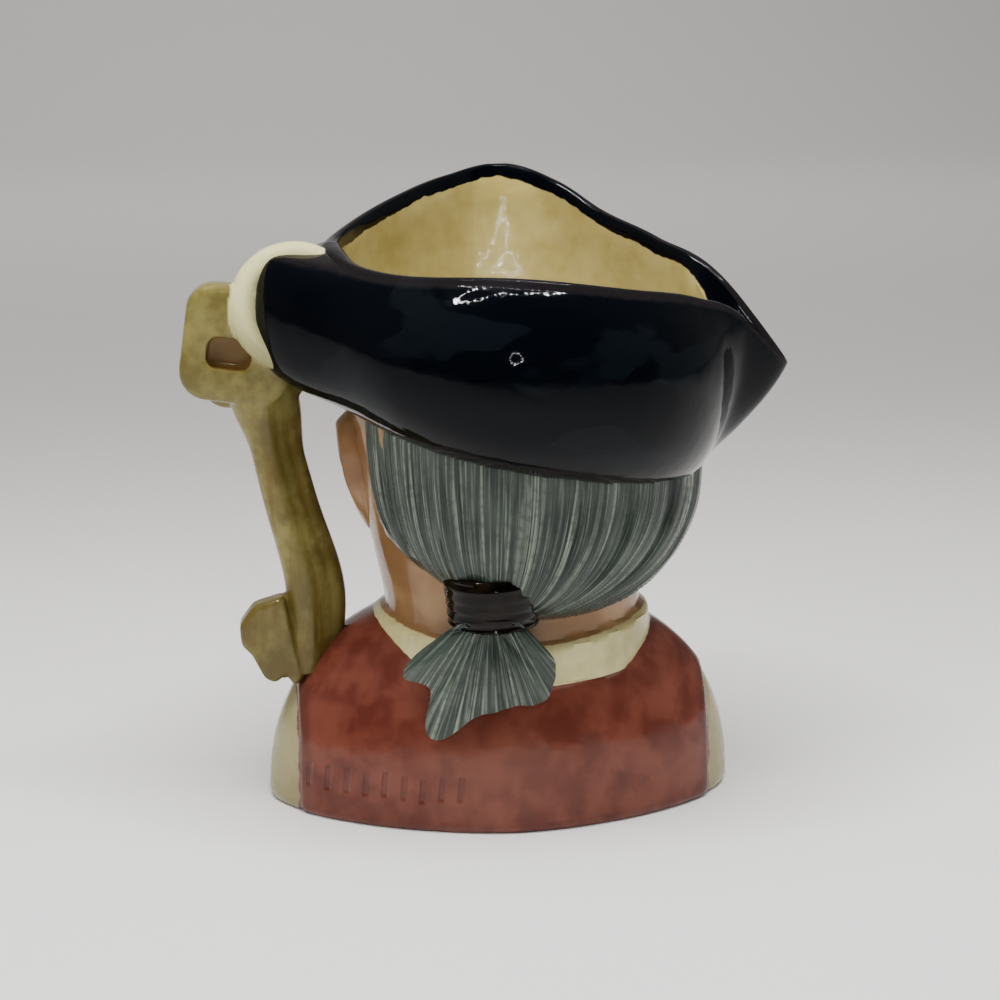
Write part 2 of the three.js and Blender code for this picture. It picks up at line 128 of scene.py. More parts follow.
# Fineness of the meshes.
COLUMNS = 360
ROWS = dict(under=6, coat=52, head=68, hat=40, lip=7, inside=24)
CAVITY_ROWS = 30
HANDLE_TRIANGLES = 34000

# -------- curves and blends, on whole arrays


def ease(low, high, x):
    share = np.clip((x - low) / (high - low), 0, 1)
    return share * share * (3 - 2 * share)


def bump(distance, width):
    return np.exp(-((distance / width) ** 2))


def blend(a, b, seam):
    """The larger of two radii, rounded over a seam of that width."""
    return (a + b + np.sqrt((a - b) ** 2 + seam**2)) / 2


def turn(start, end):
    """Degrees from one direction to another, from -180 to 180."""
    return (end - start + 180) % 360 - 180


def sine(degrees):
    return np.sin(np.radians(degrees))


def cosine(degrees):
    return np.cos(np.radians(degrees))


def oval(degrees, plan, power=2.0):
    """The radius of an oval with its own reach on each side; a power over 2 makes it squarer."""
    c, s = cosine(degrees), sine(degrees)
    across = np.abs(c) / np.where(c > 0, plan["left"], plan["right"])
    along = np.abs(s) / np.where(s > 0, plan["back"], plan["front"])
    return (across**power + along**power) ** (-1 / power)


def curve_through(rows):
    """A smooth curve through rows of (position, value, ...), as a function of an array of positions."""
    table = np.array(rows, float)
    at, values = table[:, 0], table[:, 1:]
    before = np.concatenate([[2 * at[0] - at[1]], at, [2 * at[-1] - at[-2]]])
    padded = np.vstack([values[1], values, values[-2]])

    def evaluate(position):
        t = np.clip(np.asarray(position, float), at[0], at[-1])
        i = np.clip(np.searchsorted(at, t, side="right"), 1, len(at) - 1)
        t0, t1, earlier, later = before[i], before[i + 1], before[i - 1], before[i + 2]
        p = (t - t0) / (t1 - t0)
        half = (t1 - t0) / 2
        wp, wn = half / (t0 - earlier), half / (later - t1)
        weights = [
            -wp * p**3 + 2 * wp * p**2 - wp * p,
            (1 + wp) * p**3 + (-1.5 - 2 * wp) * p**2 + (wp - 0.5) * p + 1,
            (-1 - wn) * p**3 + (1.5 + wn) * p**2 + 0.5 * p,
            wn * p**3 - wn * p**2,
        ]
        columns = range(values.shape[1])
        return [sum(w * padded[i - 1 + k, c] for k, w in enumerate(weights)) for c in columns]

    return evaluate


head_at = curve_through(HEAD)
queue_reach = curve_through(QUEUE_REACH)
rim_curve = curve_through([(RIM[-2][0] - 360, *RIM[-2][1:])] + RIM)


def rim_at(degrees):
    return rim_curve(degrees % 360)


# -------- the figure, as radii round the axis


def coat(degrees, z):
    """The coat with its sleeves, rounded at the foot."""
    height = BUST_HEIGHT + BUST_RISE * sine(degrees) ** 2
    taper = (1 - np.clip(z / height, 0, 1) ** BUST_SHOULDER) ** (1 / BUST_SHOULDER)
    behind = oval(degrees, BUST, BUST_SQUARE_BEHIND)
    before = oval(degrees, BUST, BUST_SQUARE_BEFORE)
    reach = np.where(sine(degrees) > 0, behind, before) * taper
    return reach - JERKIN_STEP * sleeve_share(degrees, reach) - FOOT_ROUNDING * bump(z, FOOT_ROUNDING)


def sleeve_share(degrees, reach):
    return ease(JERKIN_EDGE - 0.6, JERKIN_EDGE + 0.6, np.abs(reach * cosine(degrees)))


def collar_rim(degrees):
    return COLLAR_HIGH + COLLAR_RISE * cosine(degrees) ** 2


def collar(degrees, z):
    rim = collar_rim(degrees)
    band = (1 - ease(rim - 1, rim + 1, z)) * ease(COLLAR_LOW - 1.2, COLLAR_LOW + 0.5, z)
    return oval(degrees, NECK) + COLLAR_PROUD * band


def face_across(degrees):
    """How far a point lies to the side of the middle of the face, and whether it is on the face's side."""
    return FACE_REACH * sine(turn(FACE, degrees)), cosine(turn(FACE, degrees)) > 0


def cravat(degrees, z):
    across, front = face_across(degrees)
    aside = np.abs(across)
    width = CRAVAT_WIDTH * (1.5 - 0.5 * ease(CRAVAT_LOW, CRAVAT_TOP - 12, z))
    inside = np.sqrt(np.clip(1 - (aside / width) ** 4, 0, 1))
    rounding = inside * ease(CRAVAT_LOW - 3, CRAVAT_LOW + 3, z)
    folds = 0.8 * np.cos(aside * 0.85)
    under = coat(degrees, np.minimum(z, CRAVAT_TOP - 13)) - 4
    reach = (under + (CRAVAT_PROUD + 4 + folds) * rounding) * (1 - ease(CRAVAT_TOP, CRAVAT_TOP + 3, z))
    return np.where(front & (aside < width), reach, 0)


def head(degrees, z):
    left, right, back, front, square = head_at(z)
    plan = dict(left=left, right=right, back=back, front=front)
    return oval(degrees, plan, np.where(sine(degrees) > 0, 2.0, square))


def features(degrees, z):
    """The calm, regular face: what its features add to the smooth head."""
    across, front = face_across(degrees)
    side = np.abs(across)

    def spot(x, height, wide, tall, proud):
        return proud * bump(side - x, wide) * bump(z - height, tall)

    down = np.clip((BROW - z) / (BROW - NOSE), 0, 1.05)
    tip = ease(NOSE - 2.5, NOSE + 1.6, z)
    nose = (1.2 + 10.5 * down**1.4) * tip * bump(side, 3.2 + 1.9 * down) * (1 - ease(BROW - 1, BROW + 6, z))
    wings = spot(6, NOSE + 1.3, 2.5, 2.6, 3.8)
    nostrils = spot(3.4, NOSE - 1.4, 1.5, 1.1, -2.2)
    sockets = spot(EYE_APART, EYES + 1.2, 8, 5.4, -3.1)
    ball_share = 1 - ((side - EYE_APART) / 7.2) ** 2 - ((z - EYES + 0.2) / 5.2) ** 2
    balls = 3.4 * np.sqrt(np.clip(ball_share, 0, 1)) * ease(0, 0.12, ball_share)
    from_middle = (side - EYE_APART) / 7.4
    arch = 1 - from_middle**2
    open_lid = np.where(np.abs(from_middle) < 1, arch, 0) ** 0.7
    upper = 0.95 * bump(z - (EYES - 0.3 + 3.1 * arch), 0.8) * open_lid
    lower = 0.6 * bump(z - (EYES - 0.3 - 2.6 * arch), 0.7) * open_lid
    crease = -0.4 * bump(z - (EYES + 1.4 + 3.4 * arch), 0.8) * open_lid
    brow_height = BROW + 2.4 - 0.016 * (side - 13) ** 2
    brows = 1.5 * bump(z - brow_height, 1.9) * ease(3, 7, side) * (1 - ease(21, 26, side))
    cheeks = spot(25, NOSE + 3, 9, 9, 2.4)
    beside_mouth = ease(MOUTH - 3, MOUTH + 3, z) * (1 - ease(NOSE - 1, NOSE + 2, z))
    fold = -0.5 * bump(side - (9 + 0.5 * (NOSE - z)), 1.6) * beside_mouth
    mouth_line = MOUTH + 0.012 * side**2 - 0.5 * bump(side, 2.4)
    within = 1 - ease(9, 12, side)
    upper_lip = 2 * bump(z - mouth_line - 1.7, 1.5) * within * (1 - 0.3 * bump(side, 1.6))
    lower_lip = 2.7 * bump(z - mouth_line + 2.5, 1.9) * (1 - ease(7, 11.5, side))
    parting = -1.7 * bump(z - mouth_line, 0.75) * within
    philtrum = -0.5 * bump(side, 1.5) * bump(z - MOUTH - 5.5, 2.2)
    under_lip = spot(0, MOUTH - 7.4, 8, 1.8, -0.9)
    chin = spot(0, CHIN + 3, 9, 4.8, 3.8)
    eyes = sockets + balls + upper + lower + crease + brows
    mouth = upper_lip + lower_lip + parting + philtrum + under_lip
    total = nose + wings + nostrils + eyes + cheeks + fold + mouth + chin
    return np.where(front, total * (1 - ease(62, 75, np.abs(turn(FACE, degrees)))), 0)


def hat_edge(degrees):
    reach = oval(degrees, HAT)
    return HAT_EDGE + HAT_ROLL * reach * cosine(degrees) + HAT_PITCH * reach * sine(degrees)


def hairline(degrees):
    """Height of the lower edge of the hair: level behind, steep behind the left ear and at the right ear."""
    aside = turn(100, degrees)
    to_left_ear = np.clip(-aside / 88, 0, 1.5)
    at_left_ear = 1 - ease(-85, -72, aside)
    at_right_ear = np.clip((aside - 70) / 10, 0, 1.3)
    return HAIR_LOW + 22 * to_left_ear**1.2 + 32 * at_left_ear + 50 * at_right_ear**1.5


def lock(degrees, z):
    """Which lock of the combed hair a point lies in: they draw together from the hat to the ribbon."""
    down = np.clip((hat_edge(degrees) - z) / (hat_edge(degrees) - RIBBON_LOW), 0, 0.93)
    return turn(RIBBON_AT, degrees) / np.sqrt(1 - down**2)


def hair(degrees, z):
    low, top = hairline(degrees), hat_edge(degrees)
    down = np.clip((top - z) / np.maximum(top - low, 0.5), 0, 1)
    strand = lock(degrees, z)
    wander = 0.5 * sine(strand * 3.1 + 40) + 0.4 * sine(strand * 7.3)
    locks = 0.9 * cosine(strand * LOCKS + 60 * wander) + 0.34 * cosine(strand * LOCKS * 2.9 + 90 * wander)
    combed = locks * (1 - 0.65 * down**2)
    fullness = FULLNESS_BEHIND + (FULLNESS_RIGHT - FULLNESS_BEHIND) * ease(10, 70, turn(100, degrees))
    turned_in = (1 - down**fullness) ** (1 / fullness)
    reach = (oval(degrees, HAIR) + combed) * turned_in * ease(-1, 5, top - low)
    return np.where((z >= low) & (top > low), reach, 0)


def buttons(degrees, z):
    """The jerkin's front: the overlap down the middle, and its buttons."""
    across, front = face_across(degrees)
    overlap = 0.7 * ease(-0.5, 0.5, across + 1) * (1 - ease(3, 9, across))
    domes = 0
    for height in BUTTON_HEIGHTS:
        from_middle = (across - BUTTON_ASIDE) ** 2 + (z - height) ** 2
        domes = domes + np.sqrt(np.clip(1 - from_middle / BUTTON_RADIUS**2, 0, 1))
    return np.where(front, (overlap + 1.3 * domes) * (1 - ease(16, 20, z)), 0)


def layers(degrees, z):
    """The radius of each thing that the figure wears or is made of."""
    return dict(
        coat=coat(degrees, z) + buttons(degrees, z),
        collar=collar(degrees, z),
        cravat=cravat(degrees, z),
        skin=head(degrees, z) + features(degrees, z),
        hair=hair(degrees, z),
    )


def figure(degrees, z):
    """The outside below the hat: the outermost of those things, with a soft seam between them."""
    part = layers(degrees, z)
    clothes = blend(blend(part["coat"], part["collar"], 1.2), part["cravat"], 0.8)
    return blend(blend(clothes, part["skin"], 1.6), part["hair"], 0.8)


# -------- the cocked hat and the inside


def brim(degrees, share):
    """A point on the outside of the turned-up brim: share 0 at its lower edge, 1 at the rim."""
    reach, height = rim_at(degrees)
    snout = bump(turn(SNOUT_AT, degrees), SNOUT_SPREAD)
    behind = np.clip(sine(degrees), 0, 1) ** 0.7 * (1 - bump(turn(RIGHT_POINT, degrees), 22))
    rounded = 1 - np.abs(2 * share**0.9 - 1) ** 2.4
    blunt = 1 - np.abs(2 * share - 1) ** 3.4
    swell = (BRIM_SWELL + BRIM_SWELL_BEHIND * behind) * rounded + SNOUT_OUT * snout * blunt
    crown = SNOUT_CROWN * snout * bump(share - 0.82, 0.16)
    edge_reach, edge = oval(degrees, HAT), hat_edge(degrees)
    return edge_reach + (reach - edge_reach) * share + swell, edge + (height - edge) * share + crown


def core(degrees, z):
    """The outside without its fine features, which the inside doesn't follow."""
    edge = hat_edge(degrees)
    bare_hair = np.where(hair(degrees, z) > 0, oval(degrees, HAIR) - 3, 0)
    below = blend(coat(degrees, z), blend(head(degrees, z), np.minimum(hair(degrees, z), bare_hair), 2), 3)
    reach, height = rim_at(degrees)
    share = np.clip((z - edge) / (height - edge), 0, 1)
    hat = brim(degrees, share)[0] - POINTS_THICKEN * np.maximum(0, reach - POINTS_FROM)
    return np.where(z <= edge, below, hat)


def lip_thickness(degrees):
    return LIP + LIP_AT_SNOUT * bump(turn(SNOUT_AT + 4, degrees), 16)


def inside_reach(degrees, z):
    """The inside, a wall's thickness within everything that is near that height."""
    around = np.stack([core(degrees, z + dz) for dz in (-WALL, -WALL / 2, 0, WALL / 2, WALL)])
    return around.min(0) - WALL


def column_paths(degrees):
    """Rows of (reach, height) for all columns: under the foot, up the outside, over the lip, down inside."""
    rows = []

    def row(reach, z):
        rows.append((reach + 0 * degrees, z + 0 * degrees))

    foot = figure(degrees, 0 * degrees)
    for share in (0.25, 0.5, 0.75, 1):
        row((foot - FOOT_WIDTH - FOOT_RECESS) * share, FOOT_RECESS)
    row(foot - FOOT_WIDTH, 0)
    row(foot - 0.6, 0)
    for step in range(ROWS["coat"]):
        z = np.full_like(degrees, TO_HEAD * step / ROWS["coat"] + 0.4 * (step == 0))
        row(figure(degrees, z), z)
    top = hat_edge(degrees)
    for step in range(ROWS["head"]):
        z = TO_HEAD + (top - TO_HEAD) * step / ROWS["head"]
        row(figure(degrees, z), z)
    for step in range(ROWS["hat"] + 1):
        row(*brim(degrees, step / ROWS["hat"]))
    reach, height = brim(degrees, 1)
    lip = lip_thickness(degrees)
    for step in range(1, ROWS["lip"]):
        over = np.pi * step / ROWS["lip"]
        row(reach - lip / 2 * (1 - np.cos(over)), height + LIP_ROUNDING * np.sin(over))
    row(reach - lip, height)
    for step in range(ROWS["inside"]):
        z = height - LIP_DEPTH + (FLOOR + FLOOR_ROUNDING - height + LIP_DEPTH) * step / (ROWS["inside"] - 1)
        row(inside_reach(degrees, z), z)
    last = rows[-1][0]
    for shrink, z in ((2, FLOOR + 2), (6, FLOOR + 0.4)):
        row(last - shrink, z)
    row(last * 0.5, FLOOR)
    return rows


def column_degrees():
    """Directions of the columns, closer together over the face, the combed hair and the hat's points."""
    at = np.arange(0, 360, 0.1)
    density = (1 + 1.6 * bump(turn(FACE, at), 32) + 0.9 * bump(turn(88, at), 70)
               + 2 * bump(turn(RIGHT_POINT, at), 8) + 0.6 * bump(turn(SNOUT_AT, at), 18))
    total = np.concatenate([[0], np.cumsum(density)])
    return np.interp(np.arange(COLUMNS) / COLUMNS * total[-1], total, np.arange(len(total)) * 0.1)


# -------- making pieces

SLOTS = FIGURE, HAT_GLAZE, INSIDE, KEY, TIED_HAIR, RIBBON, EAR = range(7)
MIDDLE_OF_JUG = (3.9614, -1.1179, 0)  # the middle of the solid's box, from the jug's axis


def select_only(*things):
    bpy.ops.object.select_all(action="DESELECT")
    for thing in things:
        thing.select_set(True)
    if things:
        bpy.context.view_layer.objects.active = things[0]


def finish_with(thing, kind, **settings):
    """Adds a modifier of that kind and applies it."""
    select_only(thing)
    modifier = thing.modifiers.new(kind.lower(), kind)
    for name, value in settings.items():
        setattr(modifier, name, value)
    bpy.ops.object.modifier_apply(modifier=modifier.name)


def settle(thing):
    """Moves the object's place and turn into its mesh."""
    select_only(thing)
    bpy.ops.object.transform_apply(location=True, rotation=True, scale=True)


def paint_slots(thing, index):
    """Gives it the jug's slots, all empty as yet, and all its faces the one of that index."""
    for _ in SLOTS[len(thing.data.materials):]:
        thing.data.materials.append(None)
    thing.data.polygons.foreach_set("material_index", [index] * len(thing.data.polygons))


def vertex_places(thing):
    co = np.empty(len(thing.data.vertices) * 3)
    thing.data.vertices.foreach_get("co", co)
    return co.reshape(-1, 3)


def grid_sphere(segments, rings):
    """A new sphere, with the column and the row of each of its vertices."""
    select_only()
    bpy.ops.mesh.primitive_uv_sphere_add(segments=segments, ring_count=rings, radius=1, calc_uvs=False)
    ball = bpy.context.object
    x, y, z = vertex_places(ball).T
    column = np.round(np.degrees(np.arctan2(y, x)) / 360 * segments).astype(int) % segments
    row = np.round(np.arccos(np.clip(z, -1, 1)) / np.pi * rings).astype(int)
    return ball, column, row


def round_grid(segments, rings):
    """A new sphere, with the direction of each vertex and its share of the way from the top to the bottom."""
    ball, column, row = grid_sphere(segments, rings)
    return ball, column * 360 / segments, row / rings


def place_vertices(thing, x, y, z):
    places = np.stack(np.broadcast_arrays(x, y, z), 1).astype(float)
    thing.data.vertices.foreach_set("co", np.ascontiguousarray(places).ravel())
    thing.data.update()


def place_round(thing, radius, degrees, z, centre=(0, 0)):
    place_vertices(thing, centre[0] + radius * cosine(degrees), centre[1] + radius * sine(degrees), z)


def closed_shell(degrees, rows, top, bottom):
    """A shell through rows of (reach, height) for all columns, from the top down, and its grid's rows."""
    reach = np.array([reach for reach, _ in rows])
    height = np.array([height for _, height in rows])
    shell, column, row = grid_sphere(len(degrees), len(rows) + 1)
    nearest = np.clip(row - 1, 0, len(rows) - 1), column
    at_top, at_bottom = row == 0, row == len(rows) + 1
    radius = np.where(at_top | at_bottom, 0, reach[nearest])
    z = np.where(at_top, top, np.where(at_bottom, bottom, height[nearest]))
    place_round(shell, radius, degrees[column], z)
    return shell, row


def pick_edges(thing, fits):
    """Goes into edit mode, with only those edges selected whose two ends fit the test."""
    select_only(thing)
    bpy.ops.object.mode_set(mode="EDIT")
    bpy.ops.mesh.select_mode(type="EDGE")
    bpy.ops.mesh.select_all(action="DESELECT")
    shape = bmesh.from_edit_mesh(thing.data)
    for line in shape.edges:
        line.select = fits(*(vertex.co for vertex in line.verts))
    bmesh.update_edit_mesh(thing.data)


def face_outwards(thing):
    select_only(thing)
    bpy.ops.object.mode_set(mode="EDIT")
    bpy.ops.mesh.select_all(action="SELECT")
    bpy.ops.mesh.normals_make_consistent(inside=False)
    bpy.ops.object.mode_set(mode="OBJECT")


def cast_wall():
    """The hollow wall: a sphere's grid whose poles are the middles of the inside floor and the underside."""
    degrees = column_degrees()
    rows = column_paths(degrees)
    wall, row = closed_shell(degrees, rows[::-1], FLOOR, FOOT_RECESS)
    wall.name = "cast_jug"
    paint_slots(wall, FIGURE)
    path = np.clip(len(rows) - row, 0, len(rows) - 1)
    hat = ROWS["under"] + ROWS["coat"] + ROWS["head"]
    lip = hat + ROWS["hat"] + ROWS["lip"] - 2
    corners = np.empty(len(wall.data.loops), int)
    wall.data.loops.foreach_get("vertex_index", corners)
    starts = np.empty(len(wall.data.polygons), int)
    wall.data.polygons.foreach_get("loop_start", starts)
    middle = np.minimum.reduceat(path[corners], starts) + 0.5
    index = np.where(middle < ROWS["under"] - 2, INSIDE, FIGURE)
    index = np.where(middle > hat - 1, HAT_GLAZE, index)
    index = np.where(middle > lip, INSIDE, index)
    wall.data.polygons.foreach_set("material_index", index)
    return wall


def cavity():
    """The space inside and over the mouth, and a part of the wall: what is luted on stays out of it."""
    degrees = column_degrees()[::2]
    reach, height = brim(degrees, 1)
    mouth = reach - lip_thickness(degrees) + INTO_WALL
    top, low = height - LIP_DEPTH, FLOOR + FLOOR_ROUNDING
    heights = [top + (low - top) * step / CAVITY_ROWS for step in range(CAVITY_ROWS + 1)]
    rows = [(mouth, ABOVE + 0 * degrees), (mouth, height)]
    rows += [(inside_reach(degrees, z) + INTO_WALL, z) for z in heights]
    rows.append((rows[-1][0] - 6, FLOOR + 1 + 0 * degrees))
    space, _ = closed_shell(degrees, rows, ABOVE, FLOOR + 1)
    face_outwards(space)
    return space


def queue():
    """The tied hair lies on the coat like a fan, combed from the ribbon to its ragged edge."""
    fan, around, share = round_grid(144, 40)
    direction = turn(around, 180)
    out = np.minimum(1, 1.45 * np.sin(np.pi * share) ** 0.8)
    spread = queue_reach(direction)[0] * np.where(share < 0.5, out, np.minimum(out, 0.9))
    across, drop = -spread * sine(direction), spread * cosine(direction)
    strands = (0.9 * cosine(direction * 12 + 20) + 0.4 * cosine(direction * 31 + 60)) * ease(0.1, 0.6, out)
    near_ribbon = QUEUE_ROOT * (1 - ease(0, 14, drop))
    face = QUEUE_FROM_AXIS + QUEUE_STANDS_OFF + 1 - near_ribbon - 0.07 * drop + strands
    dome = np.sqrt(np.clip(1 - (share * 2) ** 3.2, 0, 1))
    outer = (QUEUE_FROM_AXIS - 3) * (1 - dome) + face * dome
    reach = np.where(share < 0.5, outer, QUEUE_FROM_AXIS - 9)
    angle = RIBBON_AT + np.degrees(across / (QUEUE_FROM_AXIS + QUEUE_STANDS_OFF))
    place_round(fan, reach, angle, QUEUE_TOP - drop)
    face_outwards(fan)
    paint_slots(fan, TIED_HAIR)
    return fan


def ribbon():
    """The ribbon wound round the hair where it is tied."""
    band, degrees, down = round_grid(96, 36)
    low, high, radius = RIBBON_LOW, RIBBON_HIGH, RIBBON_RADIUS
    profile = np.array([
        (0, low), (radius - 2.4, low), (radius - 1.4, low + 0.8), (radius - 1.1, low + 3),
        (radius - 0.7, low + 7), (radius + 0.1, high - 3.2), (radius - 0.3, high - 0.9),
        (radius - 1.6, high), (0, high),
    ])
    steps = np.linspace(0, 1, len(profile))
    r = np.interp(1 - down, steps, profile[:, 0])
    z = np.interp(1 - down, steps, profile[:, 1])
    creases = 0.28 * np.sin(z * 2.1 + 1.2 * sine(degrees * 2)) * ease(3, 8, r)
    tied_at = RIBBON_REACH * cosine(RIBBON_AT), RIBBON_REACH * sine(RIBBON_AT)
    place_round(band, r + creases, degrees, z, tied_at)
    face_outwards(band)
    paint_slots(band, RIBBON)
    return band


def ear(at, tall, wide, out, leans, facing):
    """An ear: rolled rim, dished within, a fold behind the dish, and a soft lobe."""
    shell, around, share = round_grid(72, 64)
    up, back = sine(around), cosine(around)
    ring = np.sin(np.pi * share)
    height = up * ring
    lobe = ease(-0.5, -0.9, height)
    at_cheek = ease(0.3, 1, -back) * ease(0.2, -0.4, up)
    rolled = bump(ring - 0.8, 0.13) * (1 - 0.75 * lobe) * (1 - 0.6 * at_cheek)
    fold = bump(ring - 0.5, 0.11) * ease(-0.2, 0.5, back) * (1 - lobe)
    dish = ease(0.8, 0.2, ring) * (1 - 0.8 * lobe)
    relief = 0.8 + 0.22 * rolled + 0.16 * fold - 0.42 * dish + 0.06 * lobe
    tapered = 1 - 0.62 * ease(0.15, -1, height)
    edge = np.sqrt(np.clip(1 - ring**4, 0, 1))
    breadth = (wide / 2) * (1 + 0.22 * up)
    depth = np.where(share < 0.5, out * tapered * relief * edge, -0.4 * out * edge)
    y, z = breadth * ring * back, (tall / 2) * height
    place_vertices(shell, depth, y, z)
    shell.rotation_euler = (0, radians(leans), radians(facing))
    shell.location = at
    settle(shell)
    face_outwards(shell)
    paint_slots(shell, EAR)
    return shell


# -------- the handle


def hoop():
    select_only()
    bpy.ops.mesh.primitive_torus_add(
        major_radius=HOOP["radius"], minor_radius=HOOP["tube"], major_segments=80, minor_segments=20,
        location=HOOP["centre"], rotation=(radians(90 - HOOP["lean"]), 0, 0),
    )
    ring = bpy.context.object
    settle(ring)
    return ring


def rounded_block(wide, thick, tall, corner, edge):
    """A block round the origin: its four corners are rounded first, then the edges of its two faces."""
    select_only()
    bpy.ops.mesh.primitive_cube_add(size=1, scale=(wide, thick, tall))
    block = bpy.context.object
    settle(block)

    def across(a, b):
        return abs(a.y - b.y) > thick / 2

    def round_a_face(a, b):
        return not across(a, b) and abs(abs(a.y) - thick / 2) < 1e-3

    for fits, offset, segments in ((across, corner, 8), (round_a_face, edge, 4)):
        pick_edges(block, fits)
        bpy.ops.mesh.bevel(offset=offset, segments=segments, affect="EDGES")
        bpy.ops.object.mode_set(mode="OBJECT")
    return block


def place_block(block, at, turned):
    block.rotation_euler = (0, -radians(turned), 0)
    block.location = at
    settle(block)


def bow(at, turned, side):
    """The bow of a key: a thick rounded plate with a blind hollow in its outer face."""
    plate = rounded_block(**BOW)
    place_block(plate, at, turned)
    hollow = rounded_block(thick=BOW["thick"], **BOW_HOLLOW)
    x, y, z = at
    out = side * (BOW["thick"] - HOLLOW_DEEP)
    place_block(hollow, (x + HOLLOW_ASIDE, y + out, z + HOLLOW_UP), turned)
    finish_with(plate, "BOOLEAN", operation="DIFFERENCE", object=hollow, solver="EXACT")
    bpy.data.objects.remove(hollow)
    return plate


def smooth_path(points, share):
    """Points on a smooth curve through the given ones, which stays close to them."""
    known = np.array(points, float)
    known = np.vstack([2 * known[0] - known[1], known, 2 * known[-1] - known[-2]])
    spans = len(points) - 1
    i = np.clip((share * spans).astype(int), 0, spans - 1)
    t = (share * spans - i)[:, None]
    p0, p1, p2, p3 = (known[i + k] for k in range(4))
    d0, d1, d2 = (np.linalg.norm(b - a, axis=1)[:, None] ** 0.5 for a, b in ((p0, p1), (p1, p2), (p2, p3)))
    v1 = ((p1 - p0) / d0 - (p2 - p0) / (d0 + d1) + (p2 - p1) / d1) * d1
    v2 = ((p2 - p1) / d1 - (p3 - p1) / (d1 + d2) + (p3 - p2) / d2) * d1
    return p1 + v1 * t + (3 * (p2 - p1) - 2 * v1 - v2) * t**2 + (2 * (p1 - p2) + v1 + v2) * t**3


def shank(points):
    """The shank bends a little on its way from the bow down to the shoulder, and grows thicker."""
    rod, degrees, share = round_grid(32, 90)
    x, y, z = smooth_path(points, share).T
    funnel = SHANK_FUNNEL * (1 - ease(0.08, 0.24, share))
    radius = SHANK_TOP + (SHANK_FOOT - SHANK_TOP) * share + funnel
    radius = np.where((share == 0) | (share == 1), 0, radius)
    place_round(rod, radius, degrees, z, (x, y))
    face_outwards(rod)
    return rod


def bit(at):
    """The bit of a key: a notched plate."""
    select_only()
    bpy.ops.mesh.primitive_circle_add(vertices=len(BIT_OUTLINE), radius=1, fill_type="NGON")
    plate = bpy.context.object
    for vertex, (x, y) in zip(plate.data.vertices, BIT_OUTLINE):
        vertex.co = (x * BIT["wide"], -BIT["thick"] / 2, y * BIT["tall"])
    bpy.ops.object.mode_set(mode="EDIT")
    bpy.ops.mesh.select_all(action="SELECT")
    bpy.ops.mesh.extrude_region_move(TRANSFORM_OT_translate={"value": (0, BIT["thick"], 0)})
    bpy.ops.object.mode_set(mode="OBJECT")
    face_outwards(plate)
    finish_with(plate, "BEVEL", width=BIT_ROUNDING, segments=3, limit_method="ANGLE")
    plate.rotation_euler = (0, radians(BIT_LEANS), 0)
    plate.location = at
    settle(plate)
    return plate


def handle():
    """Hoop and keys, run together and softened as the mould and the glaze leave them."""
    shanks = np.array([key["shank"] for key in KEYS], float)
    web = shank(shanks.mean(0))
    pieces = [hoop(), web]
    for key in KEYS:
        pieces += [bow(key["bow"], key["turned"], key["side"]), shank(key["shank"]), bit(key["bit"])]
    select_only(*pieces)
    bpy.ops.object.join()
    keys = bpy.context.object
    finish_with(keys, "REMESH", mode="VOXEL", voxel_size=0.6)
    finish_with(keys, "SMOOTH", factor=0.5, iterations=3)
    triangles = 2 * len(keys.data.polygons)
    finish_with(keys, "DECIMATE", ratio=min(1, HANDLE_TRIANGLES / triangles))
    paint_slots(keys, KEY)
    return keys


def fuse(jug, piece):
    finish_with(jug, "BOOLEAN", operation="UNION", object=piece, solver="MANIFOLD")
    bpy.data.objects.remove(piece)


def whole_jug():
    jug, hollow = cast_wall(), cavity()
    for piece in [queue(), ribbon(), handle()] + [ear(**each) for each in EARS]:
        finish_with(piece, "BOOLEAN", operation="DIFFERENCE", object=hollow, solver="MANIFOLD")
        fuse(jug, piece)
    bpy.data.objects.remove(hollow)
    return jug


# -------- what the paint follows


def in_hollow(x, y, z):
    """1 in the blind hollow of a key's bow, 0 elsewhere."""
    inside = np.zeros(len(x))
    for key in KEYS:
        u, v, w = x - key["bow"][0] - HOLLOW_ASIDE, y - key["bow"][1], z - key["bow"][2] - HOLLOW_UP
        deep = BOW["thick"] / 2 - 0.7 - key["side"] * v
        over = (np.abs(u) < BOW_HOLLOW["wide"] / 2 + 0.8) & (np.abs(w) < BOW_HOLLOW["tall"] / 2 + 0.8)
        inside[over & (deep > 0) & (deep < 9)] = 1
    return inside


def from_hoop(x, y, z):
    """How far points lie from the middle of the hoop's tube."""
    lean = radians(HOOP["lean"])
    across, along, up = np.stack([x, y, z]) - np.array(HOOP["centre"])[:, None]
    proud = up * np.sin(lean) - along * np.cos(lean)
    flat = np.hypot(across, up * np.cos(lean) + along * np.sin(lean))
    return np.hypot(flat - HOOP["radius"], proud)


